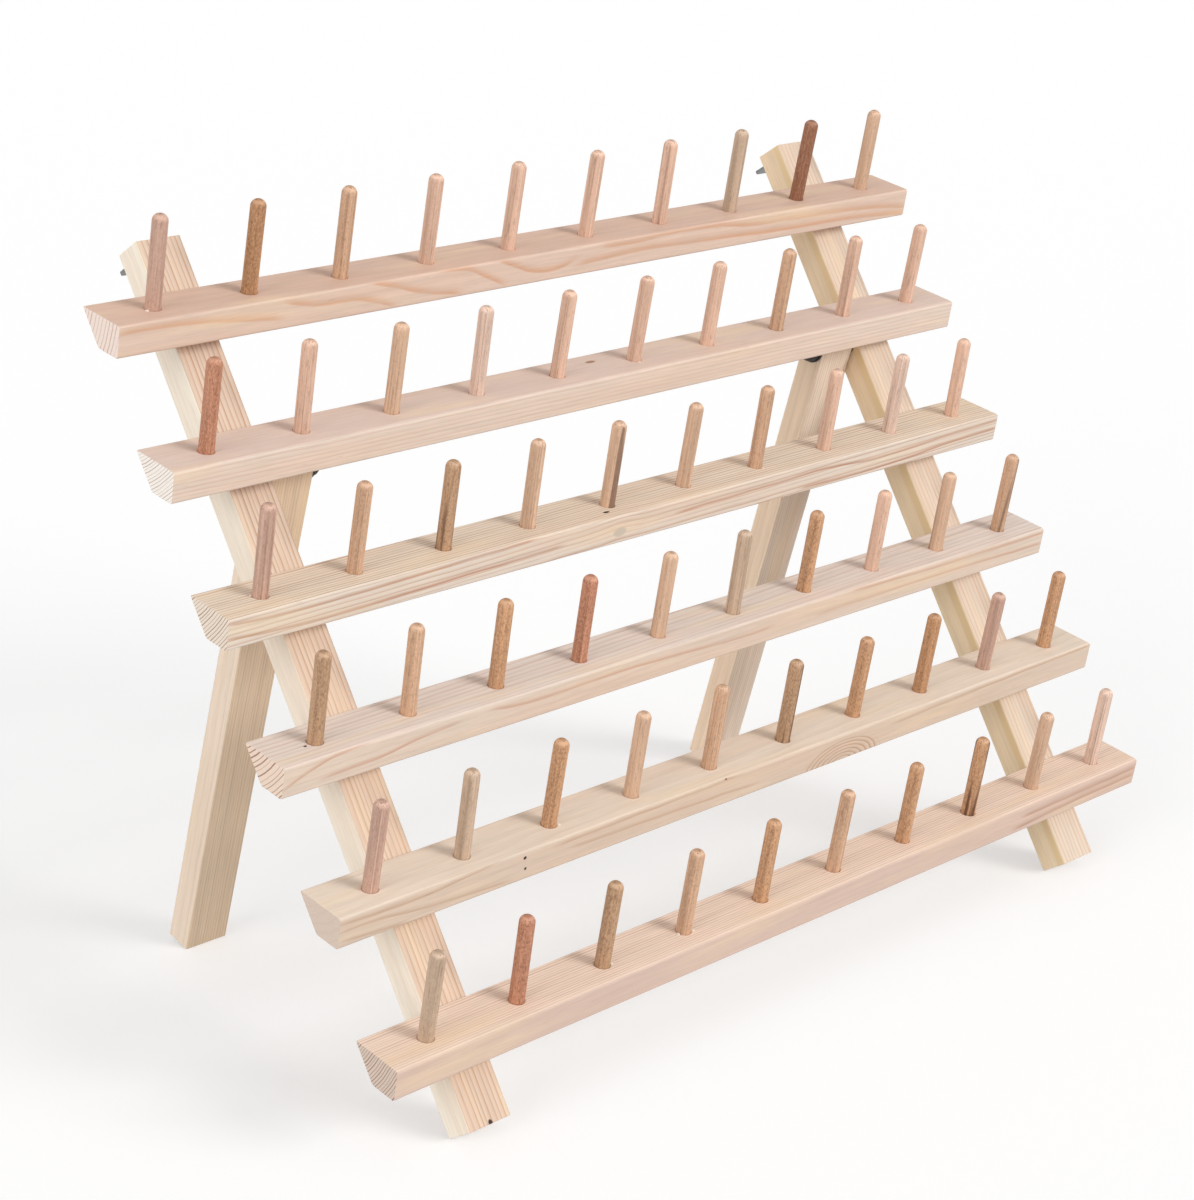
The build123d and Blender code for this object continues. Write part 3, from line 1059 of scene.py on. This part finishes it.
# Metal
metal_wave = (900.0, 900.0, 900.0)
scratch_wave = (180.0, 3600.0, 3600.0)
scratch_roughness = 0.18
scratch_depth = 0.02 * mm
scratch_bump = 0.4

# Finishes, by the slot of the pieces that they dress
metal_finishes = {
    "black_steel": dict(
        name="black_coating", base=tone(20, 20, 21), dull=tone(40, 39, 38),
        metallic=0.0, roughness=0.4,
    ),
    "zinc_steel": dict(
        name="zinc_plating", base=tone(150, 151, 150), dull=tone(112, 113, 114),
        metallic=1.0, roughness=0.36,
    ),
}


def metal(name, base, dull, metallic, roughness):
    g = Graph(name)
    spot = g.node("ShaderNodeTexCoord").outputs["Object"]
    cloud = g.noise(spot, metal_wave, detail=3.0)
    scratch = g.noise(spot, scratch_wave)
    return g.surface({
        "Base Color": g.mix(cloud, base, dull),
        "Metallic": metallic,
        "Roughness": g.spread(scratch, scratch_roughness, roughness),
        "Normal": g.bump(scratch, scratch_depth, scratch_bump),
    })


def dress_metal():
    finishes = {slot: metal(**finish) for slot, finish in metal_finishes.items()}
    for subpart in frame["record"]["subparts"]:
        finish = finishes.get(subpart["material_slot"])
        if finish:
            mesh = frame["nodes"][subpart["node"]].data
            mesh.materials.clear()
            mesh.materials.append(finish)


# Camera: the photo's three-quarter view, from a fit of the rack's corners, and enlarged
image_long_side = 1200
camera_focal_pixels = 2097.1
camera_enlarge = 1.33
camera_sensor = 36.0
camera_place = Vector((-0.76595, -0.74471, 0.50464))
camera_yaw = math.radians(44.852)
camera_pitch = math.radians(18.984)
camera_roll = math.radians(1.574)


def make_camera():
    data = bpy.data.cameras.new("camera")
    data.sensor_width = camera_sensor
    data.lens = camera_enlarge * camera_focal_pixels * camera_sensor / image_long_side
    camera = add_object("camera", data)
    turn = (
        Matrix.Rotation(-camera_yaw, 4, "Z")
        @ Matrix.Rotation(quarter_turn - camera_pitch, 4, "X")
        @ Matrix.Rotation(camera_roll, 4, "Z")
    )
    camera.matrix_world = Matrix.Translation(camera_place) @ turn
    bpy.context.scene.camera = camera


# Light and floor. A lamp's share is how much of a white surface's full brightness it gives
# face on, and its spread is its width in degrees
white = (1, 1, 1, 1)
world_share = 0.54
floor_reach = 12.0
floor_grey = tone(209, 209, 209)
floor_glow = 0.4
floor_roughness = 0.9
floor_specular = 0.1
lamps = {
    "side": dict(toward=(-0.93, -0.12, 0.3), share=0.4, spread=40),
    "front": dict(toward=(0.35, -0.82, 0.45), share=0.57, spread=28),
}


def seen_directly(tree):
    """1 for rays from the camera, or by way of gloss or glass."""
    path = tree.nodes.new("ShaderNodeLightPath")
    total = path.outputs["Is Camera Ray"]
    for name in ("Is Glossy Ray", "Is Transmission Ray"):
        add = tree.nodes.new("ShaderNodeMath")
        add.operation = "MAXIMUM"
        tree.links.new(total, add.inputs[0])
        tree.links.new(path.outputs[name], add.inputs[1])
        total = add.outputs[0]
    return total


def make_world():
    world = bpy.data.worlds.new("studio")
    world.use_nodes = True
    tree = world.node_tree
    back = tree.nodes["Background"]
    back.inputs["Color"].default_value = white
    strength = tree.nodes.new("ShaderNodeMapRange")
    strength.inputs["To Min"].default_value = world_share
    strength.inputs["To Max"].default_value = 1.0
    tree.links.new(seen_directly(tree), strength.inputs["Value"])
    tree.links.new(strength.outputs["Result"], back.inputs["Strength"])
    bpy.context.scene.world = world


def add_lamp(name, toward, share, spread):
    """A broad, even light from far away."""
    data = bpy.data.lights.new(name, "SUN")
    data.energy = share * math.pi
    data.angle = math.radians(spread)
    lamp = add_object(name, data)
    lamp.rotation_euler = Vector(toward).to_track_quat("Z", "Y").to_euler()


def make_floor():
    shape = bmesh.new()
    corners = [(-1, -1), (1, -1), (1, 1), (-1, 1)]
    shape.faces.new([shape.verts.new((x * floor_reach, y * floor_reach, 0)) for x, y in corners])
    floor = shape_object("floor", shape)
    g = Graph("floor_white")
    material = g.surface({
        "Base Color": floor_grey,
        "Roughness": floor_roughness,
        "Specular IOR Level": floor_specular,
        "Emission Color": white,
        "Emission Strength": g.product(seen_directly(g.tree), floor_glow),
    })
    floor.data.materials.append(material)


def main():
    chance = random.Random(random_seed)
    dowel = dowel_material()
    glue = glue_material()
    for number in bar_numbers:
        make_bar(number)
        make_pegs(number, dowel, glue, chance)
    for side in sides:
        make_rail(side)
        make_leg(side)
    dress_metal()
    make_camera()
    make_world()
    make_floor()
    for name, lamp in lamps.items():
        add_lamp(name, **lamp)
    bpy.context.scene.view_settings.view_transform = "Standard"


main()
